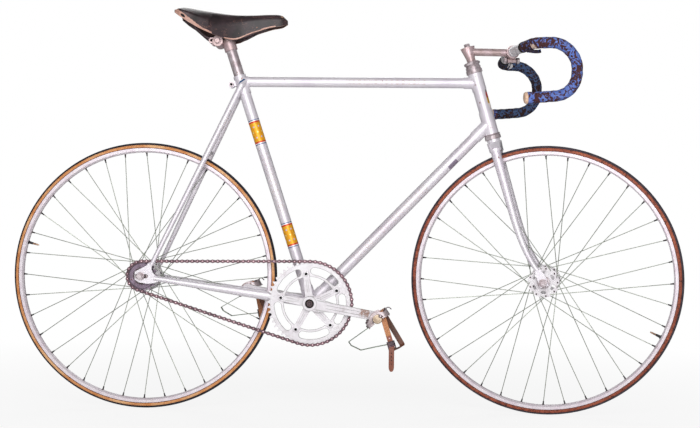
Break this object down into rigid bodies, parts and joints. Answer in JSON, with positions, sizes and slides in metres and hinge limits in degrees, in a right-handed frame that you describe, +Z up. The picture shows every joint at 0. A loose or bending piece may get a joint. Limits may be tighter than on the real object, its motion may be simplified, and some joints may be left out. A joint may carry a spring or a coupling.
{
  "type": "track bicycle",
  "caption": "Lugged steel track bicycle with drop handlebar, fixed drive, toe clips and a leather saddle; wheels, steering, cranks and pedals turn.",
  "frame": {"origin": "top of the saddle where the rider's weight rests, on the frame's middle plane", "axes": "+X forward, +Y to the rider's left, +Z up; the wheels stand on a level floor"},
  "size_m": [1.6563, 0.4342, 1.0022],
  "materials": {
    "silver_paint": "metallic silver enamel with a worn clear coat",
    "steel": "turned steel, a little tarnished",
    "polished_alloy": "polished aluminium, lightly scratched",
    "cage_steel": "plated steel, dulled",
    "rusty_chain": "brown, rusty and oily steel",
    "sprocket_steel": "dark worn steel",
    "bar_cloth": "dark blue-black cotton tape, worn",
    "plug": "black end plugs",
    "saddle_leather": "dark brown leather, creased and polished by use",
    "strap_leather": "brown leather strap",
    "tyre": "dark tread with tan sides",
    "spoke": "plain drawn steel wire"
  },
  "bodies": {
    "frame": {"bracket_cups": "steel", "bracket_shell": "silver_paint", "chain": "rusty_chain", "chain_stay_left": "silver_paint", "chain_stay_right": "silver_paint", "down_tube": "silver_paint", "head_lug_lower": "silver_paint", "head_lug_upper": "silver_paint", "head_tube": "silver_paint", "headset_cups": "steel", "rear_axle": "steel", "saddle_clamp": "steel", "saddle_frame": "steel", "saddle_top": "saddle_leather", "seat_lug": "silver_paint", "seat_stay_left": "silver_paint", "seat_stay_right": "silver_paint", "seat_tube": "silver_paint", "seatpost": "polished_alloy", "stay_bridges": "silver_paint", "top_tube": "silver_paint", "track_end_left": "silver_paint", "track_end_right": "silver_paint"},
    "fork": {"bar_plugs": "plug", "bar_tape_left": "bar_cloth", "bar_tape_right": "bar_cloth", "fork_blade_left": "silver_paint", "fork_blade_right": "silver_paint", "fork_crown": "silver_paint", "front_axle": "steel", "handlebar": "polished_alloy", "headset_race": "steel", "steerer": "steel", "stem": "polished_alloy"},
    "front_wheel": {"front_hub": "polished_alloy", "front_rim": "polished_alloy", "front_spokes": "spoke", "front_tyre": "tyre"},
    "rear_wheel": {"lockring": "sprocket_steel", "rear_hub": "polished_alloy", "rear_rim": "polished_alloy", "rear_spokes": "spoke", "rear_tyre": "tyre", "sprocket": "sprocket_steel"},
    "crank": {"bracket_spindle": "steel", "chainring": "polished_alloy", "crank_left": "polished_alloy", "crank_right": "polished_alloy", "pedal_spindle_left": "steel", "pedal_spindle_right": "steel"},
    "pedal_right": {"pedal_right": "cage_steel", "toe_clip_right": "cage_steel", "toe_strap_right": "strap_leather"},
    "pedal_left": {"pedal_left": "cage_steel", "toe_clip_left": "cage_steel", "toe_strap_left": "strap_leather"}
  },
  "joints": [
    {"name": "steering", "type": "hinge", "parent": "frame", "child": "fork", "pos_m": [0.82267, 0, -0.66968], "axis": [-0.284, 0, 0.9588], "range_deg": [-69, 91]},
    {"name": "front_wheel_spin", "type": "hinge", "parent": "fork", "child": "front_wheel", "pos_m": [0.84714, -0.00496, -0.66244], "axis": [0.183, 0.9816, 0.0542], "continuous": true},
    {"name": "rear_wheel_spin", "type": "hinge", "parent": "frame", "child": "rear_wheel", "pos_m": [-0.14885, 0, -0.6623], "axis": [0, 1, 0], "continuous": true},
    {"name": "crank_spin", "type": "hinge", "parent": "frame", "child": "crank", "pos_m": [0.27, 0, -0.724], "axis": [0, 1, 0], "continuous": true},
    {"name": "pedal_right_spin", "type": "hinge", "parent": "crank", "child": "pedal_right", "pos_m": [0.43742, 0, -0.75352], "axis": [0, 1, 0], "continuous": true},
    {"name": "pedal_left_spin", "type": "hinge", "parent": "crank", "child": "pedal_left", "pos_m": [0.10258, 0, -0.69448], "axis": [0, 1, 0], "continuous": true}
  ],
  "couplings": [
    {"joint": "crank_spin", "follows": "rear_wheel_spin", "ratio": 0.35294}
  ]
}
